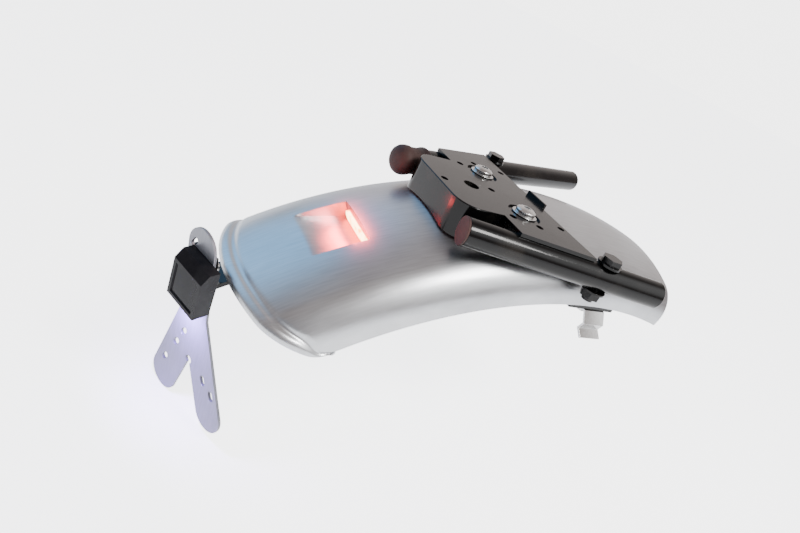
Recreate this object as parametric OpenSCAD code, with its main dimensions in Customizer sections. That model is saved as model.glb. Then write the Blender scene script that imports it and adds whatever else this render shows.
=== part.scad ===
// Motorcycle rear fender with a sunk tail light, number plate holder and the two
// frame tubes and pressed cross plate that carry it.
// +X points to the front of the bike, +Y to its left, +Z up. The origin is on the
// top face of the cross plate, midway between the two fender bolts.

/* [Fender shell] */
// Radius of the crown line about the wheel axle
crown_r = 376; // [360:1:410]
// Overall width of the shell
fender_w = 137; // [130:1:140]
// Radius of the crown across the wheel
crown_cross_r = 138; // [120:1:220]
// Radius of the shoulders between crown and skirt
shoulder_r = 28; // [20:1:34]
// Straight skirt below each shoulder
skirt_h = 4; // [3:0.5:20]
// Thickness of the pressed sheet
sheet_t = 1.6; // [1.2:0.1:2.5]
// Angle from above the axle back to the tail
tail_angle = 40; // [38:0.5:46]
// Tilt of the tail cut against the wheel's radius
tail_rake = 35; // [20:1:42]
// Angle from above the axle forward to the front edge
front_angle = 14; // [8:1:40]
// Radius of the two lower tail corners
tail_corner_r = 16; // [12:1:22]
// Width of the raised band along the tail
band_w = 8; // [6:0.5:11]
// Height that the band stands proud
band_h = 1.3; // [0.8:0.1:2]
// Depth of the folded hem along the edges
hem_w = 4; // [2:0.5:6]
// Distance of the axle ahead of the fender bolts
axle_x = 66; // [62:1:72]
// Drop from the cross plate's top to the crown line
crown_drop = 1.5; // [1.4:0.1:4]

/* [Tail light] */
// Angle from above the axle back to the light
light_angle = 26.4; // [25:0.1:28]
// Length of the light bar
light_l = 42; // [34:1:46]
// Height of the light bar
light_h = 7; // [5:0.5:8]
// Length of the scooped ramp behind the light
ramp_l = 34; // [30:1:46]
// Width of the scooped ramp
ramp_w = 47; // [46:1:56]
// Depth of the ramp at the light
ramp_d = 13.6; // [13:0.1:16]

/* [Frame tubes and cross plate] */
// Outer diameter of the frame tubes
tube_d = 19; // [16:0.5:20]
// Wall of the frame tubes
tube_wall = 2; // [1.2:0.1:3]
// Length of each frame tube
tube_l = 150; // [140:1:160]
// Length of the left tube, which shows further forward
left_tube_l = 240; // [200:1:250]
// Spacing of the tubes at their rear ends
tube_spacing = 96.5; // [94:0.5:104]
// Angle by which each tube splays towards the front
tube_splay = 15.7; // [13:0.1:20]
// Rear ends of the tubes, measured back from the fender bolts
tube_back = 56; // [50:1:64]
// Thickness of the cross plate
plate_t = 2.5; // [2:0.1:4]
// Front edge of the cross plate ahead of the fender bolts
plate_front = 31; // [26:1:40]
// Rear face of the tongue behind the fender bolts
tongue_back = 57; // [54:1:62]
// Width of the tongue between the tubes
tongue_w = 78; // [62:1:79]
// Corner radius of the tongue
tongue_r = 16; // [14:1:22]
// Diameter of the seat pin hole
pin_hole_d = 11.5; // [8:0.5:14]

/* [Fasteners] */
// Spacing of the two fender bolts
bolt_spacing = 59; // [50:1:62]
// Thread diameter of the fender bolts
bolt_d = 8; // [6:1:8]
// Spacing of the seat screw holes beside the tongue
seat_hole_spacing = 92; // [84:1:96]
// Diameter of the seat screw holes
seat_hole_d = 5.4; // [4:0.1:6]

/* [Number plate holder] */
// Thickness of the holder plate
holder_t = 2; // [1.5:0.1:3]
// Height of the top lobe above the plate light's screws
holder_top = 14; // [10:1:20]
// Drop from the plate light's screws to the ends of the lower lobes
holder_drop = 126; // [110:1:140]
// Width over the two lower lobes
lobe_spacing = 78; // [70:1:90]
// Width of a lobe
lobe_w = 26; // [22:1:28]
// Turn of the holder towards the right of the bike
holder_yaw = 25; // [0:1:30]
// Tilt of the holder, its foot being to the right
holder_roll = 6; // [0:0.5:10]
// Lean of the holder, its foot being forward
holder_lean = 6; // [0:0.5:14]

/* [Hidden] */
$fn = 96;
big = 900;
fit = 0.1;
play = 0.3;

// Frame of the shell
axle_z = -crown_r - crown_drop;
half_w = fender_w / 2;
shoulder_y = half_w - shoulder_r;
blend = 0.02;
screw_head_d = 5.6;
pin_back = 28;
rear_hole_back = 51;
front_hole_back = 10;
strap_fall = 18.6;
strap_reach = 16;
strap_knee = 8;
strap_waist = 13.5;
shoulder_off = crown_cross_r - shoulder_r + blend;
shoulder_a = asin(shoulder_y / shoulder_off);
crown_centre_r = crown_r - crown_cross_r;
shoulder_centre_r = crown_centre_r + shoulder_off * cos(shoulder_a);
edge_r = shoulder_centre_r - skirt_h;
cut_a = 90 + tail_angle + tail_rake;
cut_k = crown_r * cos(tail_angle - cut_a);
corner_c_a = cut_a - acos((cut_k - tail_corner_r) / (edge_r + tail_corner_r));

// Heights under the cross plate
tube_r = tube_d / 2;
tube_z = -plate_t - tube_r - 0.02;
tube_bolt_x = 104;
plug_l = 12;
flange_d = 17;
hex_d = 14.4;
nut_h = 6.5;
dimple_d = 24;
dimple_h = 1.2;
washer_d = 18;
washer_t = 1.6;
washer_z = -dimple_h;
head_d = 14;
head_h = 4.8;
bolt_y = bolt_spacing / 2;
bolt_len = 31;
damper_d = 20;
nut_d = 14.6;
nut_foot_z = -28;

// Tail light, in its own frame on the crown
light_z = light_h / 2 - ramp_d + 0.7;
wall_x = 1;
lens_flange = 1.5;
gasket_t = 0.9;
cup_t = 1.4;
cup_l = 12;
ear_y = light_l / 2 + 7;
board_t = 1.4;

// Number plate holder and its arm
tail_x = axle_x - crown_r * sin(tail_angle);
tail_z = axle_z + crown_r * cos(tail_angle);
holder_x = tail_x - 13;
holder_z = tail_z + 8.5;
holder_hub_z = -48;
fork_r = 3;
arm_t = 3;
arm_w = 22;
arm_drop = 9;
arm_run = 70;
arm_foot_z = -30;
arm_foot_h = 29;
arm_hole_d = 5.4;
arm_bolt_d = 5;
arm_head_d = 9;
arm_head_h = 2.4;
lamp_w = 28;
lamp_h = 34;
lamp_d = 12;
lamp_wall = 1.8;
lamp_y = -4;
lamp_z = -19;
lamp_tilt = 10;
lamp_lens_t = 2;
lamp_cavity_h = 12;
lamp_screw_y = 6.5;
lamp_screw_z = -9;
lamp_screw_d = 3.5;
lamp_hole_d = 4.4;
holder_nut_d = 8;
holder_nut_h = 2.6;
slot_l = 7.5;
slot_w = 4;
limb_a = atan2((lobe_spacing - lobe_w) / 2, holder_drop - lobe_w / 2 + holder_hub_z);
fork_z = holder_hub_z - lobe_w / 2 / sin(limb_a) - 1;

// A point on the side view, at an angle back from above the axle
function on_side(r, a) = [-r * sin(a), r * cos(a)];

// Side view frame: X forward, Y up about the axle, extruded across the wheel
module side_view() translate([axle_x, 0, axle_z]) rotate([90, 0, 0]) children();

// A frame on the crown: X forward along the crown, Z out of it
module on_crown(a) translate([axle_x, 0, axle_z]) rotate([0, -a, 0]) translate([0, 0, crown_r]) children();

// Region under the pressed section, at a depth below its outer face
module section_region(d) {
    r = crown_cross_r - d;
    far = r * 2;
    translate([crown_centre_r, 0]) intersection() {
        circle(r = r, $fn = 180);
        polygon([[0, 0], [far * cos(shoulder_a), -far * sin(shoulder_a)], [far * cos(shoulder_a), far * sin(shoulder_a)]]);
    }
    for (s = [-1, 1]) translate([shoulder_centre_r, s * shoulder_y]) circle(r = shoulder_r - d);
    w = half_w - d - blend;
    translate([edge_r - 40, -w]) square([skirt_h + 40, 2 * w]);
}

// Pressed section between two depths, cut off at the skirt's edge
module section(d0, d1) difference() {
    section_region(d0);
    section_region(d1);
    translate([0, -half_w - 10]) square([edge_r, fender_w + 20]);
}

// The section swept about the axle, from the front edge to past the tail
module swept_skin(d0, d1) {
    side_view() rotate([0, 0, 90 - front_angle])
        rotate_extrude(angle = front_angle + tail_angle + 6, $fn = 180) section(d0, d1);
}

// Solid under the crown's outer face, made larger by grow
module crown_body(grow) {
    side_view() rotate_extrude($fn = 180) translate([crown_centre_r, 0]) circle(r = crown_cross_r + grow, $fn = 180);
}

// The side outline's tail: what lies behind the raked cut, moved forward by inset
module behind_cut(inset) {
    translate(on_side(crown_r, tail_angle)) rotate(cut_a)
        translate([-big / 2, -inset]) square([big, big / 2]);
}

// What the rounded lower corner takes away
module corner_waste() {
    c = on_side(edge_r + tail_corner_r, corner_c_a);
    to_cut = [-sin(cut_a), cos(cut_a)];
    to_axle = -c / norm(c);
    reach = tail_corner_r + 4;
    difference() {
        polygon([c, c + to_cut * reach, c + (to_cut + to_axle) * reach * 1.6, c + to_axle * reach]);
        translate(c) circle(r = tail_corner_r);
    }
}

module across(w = fender_w + 20) linear_extrude(height = w, center = true) children();

module tail_waste() side_view() across() {
    behind_cut(0);
    corner_waste();
}

// Side profile of the ramp, in the light's own frame; grow thickens it below and ahead
module ramp_profile(grow, top) {
    start_z = -ramp_l * ramp_l / (2 * crown_r);
    polygon([[-ramp_l, top], [-ramp_l, start_z - grow * 1.05], [wall_x + grow, -ramp_d - grow],
             [wall_x + grow, top]]);
}

module ramp_solid(grow, top, w) rotate([90, 0, 0]) linear_extrude(height = w, center = true) ramp_profile(grow, top);

// Round-ended bar across the light's frame, from x0 to x1
module bar_shape(l, h, x0, x1) {
    translate([x0, 0, light_z]) rotate([90, 0, 90]) linear_extrude(height = x1 - x0) {
        square([l - h, h], center = true);
        for (s = [-1, 1]) translate([s * (l - h) / 2, 0]) circle(d = h);
    }
}

module fender_bolt_places() for (s = [-1, 1]) translate([0, s * bolt_y, 0]) children();

// Places of the two arm bolts under the tail, in the crown's frame
arm_angle = tail_angle - 7.5;
arm_bolt_y = 9;
module arm_bolt_places() on_crown(arm_angle) for (s = [-1, 1]) translate([0, s * arm_bolt_y, 0]) children();

// Side frame of the strap: on the right skirt, X forward, Y out of the skirt
strap_a = 0.5;
strap_r = edge_r + 8;
strap_w = 14;
strap_t = 1.5;
flange_drop = 12;
angle_l = 46;
angle_w = 16;
angle_t = 2.5;
angle_h = 8;
strap_bolt_d = 6;
module on_skirt() translate([axle_x, -half_w, axle_z]) rotate([0, strap_a, 0]) translate([0, 0, strap_r]) children();

module fender_shell() color("lightsteelblue") {
    difference() {
        union() {
            swept_skin(0, sheet_t);
            intersection() {
                swept_skin(-band_h, sheet_t);
                side_view() across() difference() {
                    behind_cut(band_w);
                    behind_cut(-1);
                }
            }
            intersection() {
                swept_skin(-band_h, sheet_t * 2);
                side_view() across() difference() {
                    behind_cut(hem_w / 2);
                    behind_cut(-1);
                }
            }
            intersection() {
                crown_body(-sheet_t / 2);
                on_crown(light_angle) {
                    ramp_solid(sheet_t, 5, ramp_w + 2 * sheet_t);
                    translate([wall_x, -ear_y - 4, -ramp_d - sheet_t])
                        cube([sheet_t, 2 * ear_y + 8, ramp_d]);
                }
            }
        }
        tail_waste();
        on_crown(light_angle) {
            ramp_solid(0, 5, ramp_w);
            bar_shape(light_l + 2 * play, light_h + 2 * play, 0, wall_x + sheet_t + 1);
            for (s = [-1, 1]) translate([0, s * ear_y, light_z]) rotate([0, 90, 0]) cylinder(d = 3.4, h = 8);
        }
        fender_bolt_places() translate([0, 0, -40]) cylinder(d = bolt_d + 1, h = 40);
    }
}

module light_housing() color("#222222") on_crown(light_angle) {
    x0 = wall_x + sheet_t;
    difference() {
        union() {
            bar_shape(light_l + 7, light_h + 5, x0, x0 + cup_l);
            translate([x0, -ear_y - 3.5, light_z - 3.5]) cube([2.4, 2 * ear_y + 7, 7]);
        }
        bar_shape(light_l + 4, light_h + 2.4, x0 - 1, x0 + cup_l - cup_t);
        for (s = [-1, 1]) translate([x0 - 1, s * ear_y, light_z]) rotate([0, 90, 0]) cylinder(d = 3.2, h = 6);
        translate([x0, 0, light_z]) rotate([0, 90, 0]) cylinder(d = 6, h = cup_l + 2);
    }
}

module light_gasket() color("#333333") on_crown(light_angle) difference() {
    x0 = wall_x + sheet_t;
    bar_shape(light_l + 3.6, light_h + 2, x0, x0 + gasket_t);
    bar_shape(light_l + 2 * play, light_h + 2 * play, x0 - 1, x0 + gasket_t + 1);
}

module light_lens() color("#ffe9a0") on_crown(light_angle) {
    x0 = wall_x + sheet_t + gasket_t;
    bar_shape(light_l, light_h, wall_x - 1.6, x0 + 0.1);
    bar_shape(light_l + 3.6, light_h + 2, x0, x0 + lens_flange);
}

module light_board() color("#2d6b3a") on_crown(light_angle) {
    x0 = wall_x + sheet_t + gasket_t + lens_flange + 1;
    bar_shape(light_l + 3.6, light_h + 1.4, x0, x0 + board_t);
    for (i = [-4:4]) translate([x0 - 0.9, i * 4.3 - 1, light_z - 1]) cube([1, 2, 2]);
}

module light_screws() color("silver") on_crown(light_angle) {
    x0 = wall_x + sheet_t + 2.4;
    for (s = [-1, 1]) translate([0, s * ear_y, light_z]) rotate([0, 90, 0]) {
        translate([0, 0, wall_x - 0.6]) cylinder(d = 2.9, h = x0 - wall_x + 0.7);
        translate([0, 0, x0]) difference() {
            cylinder(d = screw_head_d, h = 2);
            translate([0, 0, 0.8]) cylinder(d = 2.6, h = 2, $fn = 6);
        }
    }
}

module light_gland() color("#1a1a1a") on_crown(light_angle) {
    x1 = wall_x + sheet_t + cup_l;
    translate([x1, 0, light_z]) rotate([0, 90, 0]) difference() {
        union() {
            translate([0, 0, -cup_t]) cylinder(d = 6, h = cup_t + 0.1);
            cylinder(d = 9, h = 1.6);
            translate([0, 0, 1.6]) cylinder(d = 6.4, h = 5);
        }
        translate([0, 0, -3]) cylinder(d = 3.4, h = 12);
    }
}

// The holder's own frame: X forward out of the sheet, Z up along it
module at_holder() translate([holder_x, 0, holder_z]) rotate([0, 0, holder_yaw]) rotate([-holder_roll, 0, 0])
    rotate([0, -holder_lean, 0]) children();

module slot_hole(l, d) rotate([0, 90, 0]) linear_extrude(height = 12, center = true) {
    square([l - d, d], center = true);
    for (s = [-1, 1]) translate([s * (l - d) / 2, 0]) circle(d = d);
}

// Bar with round ends from one point of the sheet to another
module limb(from, to, w) {
    d = to - from;
    translate(from) circle(d = w);
    translate(to) circle(d = w);
    translate(from) rotate(atan2(d[1], d[0])) translate([0, -w / 2 + blend]) square([norm(d), w - 2 * blend]);
}

module holder_outline() {
    hub = [0, holder_hub_z];
    limb(hub, [0, holder_top - lobe_w / 2], lobe_w);
    for (s = [-1, 1]) limb(hub, [s * (lobe_spacing - lobe_w) / 2, -holder_drop + lobe_w / 2], lobe_w);
}

// Slots of the holder as [y, z, turn]
holder_slots = [[7, 2, 35], [-2, -45, 35], [8, -66, 35], [15, -79, 35], [26, -99, 35], [-17, -90, -25], [-27, -96, -25]];

module plate_holder() color("#8f93a0") at_holder() difference() {
    rotate([90, 0, 90]) translate([0, 0, -holder_t / 2]) linear_extrude(height = holder_t) difference() {
        holder_outline();
        translate([0, fork_z]) circle(r = fork_r);
    }
    for (p = holder_slots) translate([0, p[0], p[1]]) rotate([p[2], 0, 0]) slot_hole(slot_l, slot_w);
    lamp_screw_places() cylinder(d = lamp_hole_d, h = 12, center = true);
}

// The two screws that hold the plate light and the holder to the arm
module lamp_screw_places() for (s = [-1, 1])
    translate([0, s * lamp_screw_y, lamp_screw_z]) rotate([0, 90, 0]) children();

// Bent arm: a flat run under the tail and a foot turned along the holder
module plate_arm() color("#1c1c1c") difference() {
    union() {
        on_crown(arm_angle) translate([-arm_run, -arm_w / 2, -arm_drop - arm_t]) cube([arm_run + 12, arm_w, arm_t]);
        at_holder() translate([holder_t / 2, -arm_w / 2, arm_foot_z]) cube([arm_t, arm_w, arm_foot_h]);
    }
    at_holder() translate([holder_t / 2 - 60, -60, -90]) cube([60, 120, 140]);
    arm_bolt_places() translate([0, 0, -arm_drop - arm_t - 3]) cylinder(d = arm_hole_d, h = arm_t + 6);
    at_holder() lamp_screw_places() cylinder(d = lamp_hole_d, h = 16);
}

module arm_bolts() color("silver") arm_bolt_places() {
    translate([0, 0, -arm_drop - arm_t - arm_head_h]) cylinder(d = arm_head_d, h = arm_head_h);
    translate([0, 0, -arm_drop - arm_t - 0.1]) cylinder(d = arm_bolt_d, h = arm_drop + arm_t - 2.9);
}

module arm_nuts() color("silver") intersection() {
    crown_body(-sheet_t - 0.05);
    arm_bolt_places() translate([0, 0, -arm_drop]) difference() {
        cylinder(d = arm_bolt_d * 2.08, h = arm_drop + 4, $fn = 6);
        translate([0, 0, -1]) cylinder(d = arm_bolt_d + 0.1, h = arm_drop + 8);
    }
}

// The plate light's own frame: on the rear face of the holder, X out of it to the front
module at_lamp() at_holder() translate([-holder_t / 2, lamp_y, lamp_z]) rotate([lamp_tilt, 0, 0]) children();

// Hooded box, open below its lens, thicker at its foot
module plate_light_housing() color("#111111") difference() {
    at_lamp() difference() {
        rotate([90, 0, 0]) linear_extrude(height = lamp_w, center = true)
            polygon([[0, lamp_h / 2], [0, -lamp_h / 2], [-lamp_d, -lamp_h / 2], [-lamp_d, lamp_h / 2 - 6],
                     [-lamp_d * 0.6, lamp_h / 2]]);
        translate([lamp_wall - lamp_d, lamp_wall - lamp_w / 2, -lamp_h / 2 - 1])
            cube([lamp_d - 2 * lamp_wall, lamp_w - 2 * lamp_wall, lamp_cavity_h + 1]);
    }
    at_holder() lamp_screw_places() translate([0, 0, -10]) cylinder(d = lamp_screw_d + 0.1, h = 12);
}

module plate_light_board() color("#2d6b3a") at_lamp()
    translate([lamp_wall - lamp_d + fit, lamp_wall - lamp_w / 2 + fit, lamp_cavity_h - lamp_h / 2 - board_t])
        cube([lamp_d - 2 * lamp_wall - 2 * fit, lamp_w - 2 * lamp_wall - 2 * fit, board_t]);

module plate_light_lens() color("#e8e8ff") at_lamp()
    translate([lamp_wall - lamp_d + fit, lamp_wall - lamp_w / 2 + fit, -lamp_h / 2 + 0.6])
        cube([lamp_d - 2 * lamp_wall - 2 * fit, lamp_w - 2 * lamp_wall - 2 * fit, lamp_lens_t]);

module holder_screws() color("silver") at_holder() lamp_screw_places()
    translate([0, 0, -6]) cylinder(d = lamp_screw_d, h = 6 + holder_t / 2 + arm_t + holder_nut_h + 0.5);

module holder_nuts() color("silver") at_holder() lamp_screw_places()
    translate([0, 0, holder_t / 2 + arm_t]) difference() {
        cylinder(d = holder_nut_d, h = holder_nut_h, $fn = 6);
        translate([0, 0, -1]) cylinder(d = lamp_screw_d + 0.1, h = holder_nut_h + 2);
    }

// Frame of a tube: X along it to the front, from its rear end
module on_tube(side) translate([-tube_back, side * tube_spacing / 2, tube_z])
    rotate([0, 0, side * tube_splay]) children();

module tube(side, l) on_tube(side) difference() {
    rotate([0, 90, 0]) cylinder(r = tube_r, h = l);
    translate([-1, 0, 0]) rotate([0, 90, 0]) cylinder(r = tube_r - tube_wall, h = l + 2);
    translate([tube_bolt_x, 0, -tube_r - 1]) cylinder(d = bolt_d + 0.4, h = tube_d + 2);
}

module right_tube() color("#161616") tube(-1, tube_l);
module left_tube() color("#161616") tube(1, left_tube_l);

module plug(side, stand, d) on_tube(side) rotate([0, 90, 0]) {
    cylinder(r = tube_r - tube_wall - fit, h = plug_l);
    translate([0, 0, -stand]) cylinder(d = d, h = stand);
}

module right_plug() color("#202020") plug(-1, 1.6, tube_d);
module left_plug() color("#3a2020") plug(1, 8, tube_d + 3);

module plate_outline() {
    slot_x = -tongue_back + 33;
    over = 3;
    rear_y = tube_spacing / 2 + tan(tube_splay) * (slot_x + tube_back) + over;
    front_y = tube_spacing / 2 + tan(tube_splay) * (plate_front + tube_back) + over;
    polygon([[slot_x, -rear_y], [plate_front, -front_y], [plate_front, front_y], [slot_x, rear_y]]);
    tongue_outline(0);
    translate([plate_front - 1, -11]) square([4, 22]);
}

module tongue_outline(inset) {
    slot_x = -tongue_back + 33;
    w = tongue_w - 2 * inset;
    r = tongue_r - inset;
    translate([-tongue_back + tongue_r, -w / 2]) square([slot_x + tongue_back - tongue_r + 2, w]);
    translate([-tongue_back + inset, -w / 2 + r]) square([tongue_r, w - 2 * r]);
    for (s = [-1, 1]) translate([-tongue_back + tongue_r, s * (w / 2 - r)]) circle(r = r);
}

seat_hole_rows = [[-16, 76], [2, seat_hole_spacing], [26, 82]];

module cross_plate() color("#1b1b1d") {
    difference() {
        union() {
            translate([0, 0, -plate_t]) linear_extrude(height = plate_t) plate_outline();
            fender_bolt_places() translate([0, 0, -plate_t - dimple_h]) cylinder(d = dimple_d + 2, h = plate_t);
            difference() {
                translate([0, 0, -40]) linear_extrude(height = 39) difference() {
                    tongue_outline(0);
                    tongue_outline(plate_t);
                    translate([-tongue_back + 31, -big / 2]) square([big, big]);
                }
                crown_body(1.5);
            }
            translate([plate_front + 1.5, -11, -plate_t]) cube([1.5, 22, plate_t + 3]);
        }
        fender_bolt_places() {
            translate([0, 0, -dimple_h]) cylinder(d = dimple_d, h = 5);
            translate([0, 0, -10]) cylinder(d = bolt_d + 0.6, h = 20);
        }
        translate([-pin_back, 0, -10]) cylinder(d = pin_hole_d, h = 20);
        translate([-rear_hole_back, 0, -10]) cylinder(d = seat_hole_d, h = 20);
        translate([-front_hole_back, 0, -10]) cylinder(d = seat_hole_d, h = 20);
        for (row = seat_hole_rows, s = [-1, 1])
            translate([row[0], s * row[1] / 2, -10]) cylinder(d = seat_hole_d, h = 20);
    }
}

module fender_bolts() color("silver") fender_bolt_places() {
    head_z = washer_z + washer_t;
    difference() {
        translate([0, 0, head_z]) rotate_extrude() intersection() {
            square([head_d / 2, head_h]);
            translate([0, head_h - 12]) circle(r = 12);
        }
        translate([0, 0, head_z + head_h - 2.8]) cylinder(d = 5.8, h = 4, $fn = 6);
    }
    translate([0, 0, head_z - bolt_len]) cylinder(d = bolt_d, h = bolt_len + 0.1);
}

module fender_washers() color("silver") fender_bolt_places() translate([0, 0, washer_z]) difference() {
    cylinder(d = washer_d, h = washer_t);
    translate([0, 0, -1]) cylinder(d = bolt_d + 0.4, h = washer_t + 2);
}

module fender_dampers() color("#1e1e1e") difference() {
    fender_bolt_places() translate([0, 0, -30]) difference() {
        cylinder(d = damper_d, h = 30 - plate_t - dimple_h);
        translate([0, 0, -1]) cylinder(d = bolt_d + 0.4, h = 40);
    }
    crown_body(0.05);
}

module fender_nuts() color("silver") intersection() {
    crown_body(-sheet_t - 0.05);
    fender_bolt_places() translate([0, 0, nut_foot_z]) difference() {
        cylinder(d = nut_d, h = -nut_foot_z, $fn = 6);
        translate([0, 0, -1]) cylinder(d = bolt_d + 0.1, h = 2 - nut_foot_z);
    }
}

module tube_bolt_places() for (s = [-1, 1]) on_tube(s) translate([tube_bolt_x, 0, 0]) children();

module tube_bolts() color("silver") tube_bolt_places() {
    translate([0, 0, tube_r]) cylinder(d = flange_d, h = 1.6);
    translate([0, 0, tube_r + 1.5]) cylinder(d = hex_d, h = bolt_d / 2, $fn = 6);
    translate([0, 0, -tube_r - 9]) cylinder(d = bolt_d, h = tube_d + 9.1);
}

module tube_nuts() color("silver") tube_bolt_places() translate([0, 0, -tube_r - nut_h]) difference() {
    union() {
        cylinder(d = hex_d, h = nut_h, $fn = 6);
        translate([0, 0, nut_h - 1.4]) cylinder(d = flange_d, h = 1.4);
    }
    translate([0, 0, -1]) cylinder(d = bolt_d + 0.1, h = nut_h + 2);
}

// Black angle tacked inside the right skirt; the strap hangs from its flange
module under_bracket() color("#151515") on_skirt() difference() {
    union() {
        translate([-angle_l / 2, sheet_t + 0.05, -flange_drop]) cube([angle_l, angle_t, angle_h]);
        translate([-angle_l / 2, sheet_t + 0.05, -flange_drop]) cube([angle_l, angle_w, angle_t]);
    }
    translate([0, sheet_t + 9, -flange_drop - 3]) cylinder(d = strap_bolt_d + 0.4, h = 8);
}

module strap_bolt() color("silver") on_skirt() translate([0, sheet_t + 9, -flange_drop]) {
    translate([0, 0, -strap_t - 3.5]) cylinder(d = strap_bolt_d * 1.7, h = 3.5, $fn = 6);
    translate([0, 0, -strap_t - 0.1]) cylinder(d = strap_bolt_d, h = 11.5);
}

module strap_nut() color("silver") on_skirt() translate([0, sheet_t + 9, -flange_drop + angle_t]) difference() {
    cylinder(d = strap_bolt_d * 1.85, h = 5, $fn = 6);
    translate([0, 0, -1]) cylinder(d = strap_bolt_d + 0.1, h = 7);
}

// Flat strip bent twice, its side profile drawn out of the skirt
module side_strap() color("#c9c9c9") on_skirt() difference() {
    translate([-strap_w / 2, 0, -flange_drop]) rotate([90, 0, 90]) linear_extrude(height = strap_w)
        polygon([[strap_reach, 0], [strap_reach, -strap_t], [1.2, -strap_t], [-3.6, -strap_knee],
                 [-1.6, -strap_waist], [-strap_knee, -strap_fall], [-strap_knee - 1, -strap_fall + 1.2],
                 [-3.4, -strap_waist + 0.5], [-5.3, -strap_knee], [0.4, 0]]);
    translate([0, sheet_t + 9, -flange_drop - 4]) cylinder(d = strap_bolt_d + 0.4, h = 8);
}

fender_shell();
light_housing();
light_gasket();
light_board();
light_lens();
light_screws();
light_gland();
plate_arm();
arm_bolts();
arm_nuts();
plate_holder();
holder_screws();
holder_nuts();
plate_light_housing();
plate_light_board();
plate_light_lens();
right_tube();
left_tube();
right_plug();
left_plug();
cross_plate();
fender_bolts();
fender_washers();
fender_dampers();
fender_nuts();
tube_bolts();
tube_nuts();
under_bracket();
side_strap();
strap_bolt();
strap_nut();
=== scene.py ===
"""Dresses the motorcycle rear fender: brushed shell, sunk tail light, plate holder and frame tubes.

Everything is in metres in the frame of the solids: X to the front of the bike, Y to its left,
Z up, with the origin on the cross plate midway between the two fender bolts.
"""

from __future__ import annotations

import logging
import math
from dataclasses import dataclass, field
from enum import Enum
from typing import Callable

import bpy
from mathutils import Matrix, Vector


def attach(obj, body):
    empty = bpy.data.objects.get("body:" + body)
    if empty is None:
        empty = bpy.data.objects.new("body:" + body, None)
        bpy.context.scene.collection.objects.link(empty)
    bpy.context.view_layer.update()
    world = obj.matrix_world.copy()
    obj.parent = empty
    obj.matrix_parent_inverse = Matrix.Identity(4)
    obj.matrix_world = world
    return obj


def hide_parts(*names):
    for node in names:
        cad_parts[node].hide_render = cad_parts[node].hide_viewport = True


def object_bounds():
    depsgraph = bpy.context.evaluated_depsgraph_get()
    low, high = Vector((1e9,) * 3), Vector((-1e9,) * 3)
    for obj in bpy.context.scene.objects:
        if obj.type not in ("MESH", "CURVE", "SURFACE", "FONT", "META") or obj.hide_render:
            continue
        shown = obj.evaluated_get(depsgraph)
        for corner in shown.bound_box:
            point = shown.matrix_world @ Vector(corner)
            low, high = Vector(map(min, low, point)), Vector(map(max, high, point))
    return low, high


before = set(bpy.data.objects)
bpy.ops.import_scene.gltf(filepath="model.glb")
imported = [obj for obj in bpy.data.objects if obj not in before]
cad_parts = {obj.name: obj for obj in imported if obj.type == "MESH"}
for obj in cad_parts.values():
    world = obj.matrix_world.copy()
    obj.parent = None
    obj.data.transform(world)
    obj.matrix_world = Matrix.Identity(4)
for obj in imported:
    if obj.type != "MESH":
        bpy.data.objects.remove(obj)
CAD_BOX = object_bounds()

LOG = logging.getLogger("fender")
MM = 0.001

Colour = tuple[float, float, float]
Point = tuple[float, float, float]


class Grain(Enum):
    """Which way a metal's fine scratches run."""

    LENGTHWISE = (60.0, 900.0, 60.0)
    UPRIGHT = (700.0, 700.0, 40.0)
    RANDOM = (500.0, 500.0, 500.0)


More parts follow.
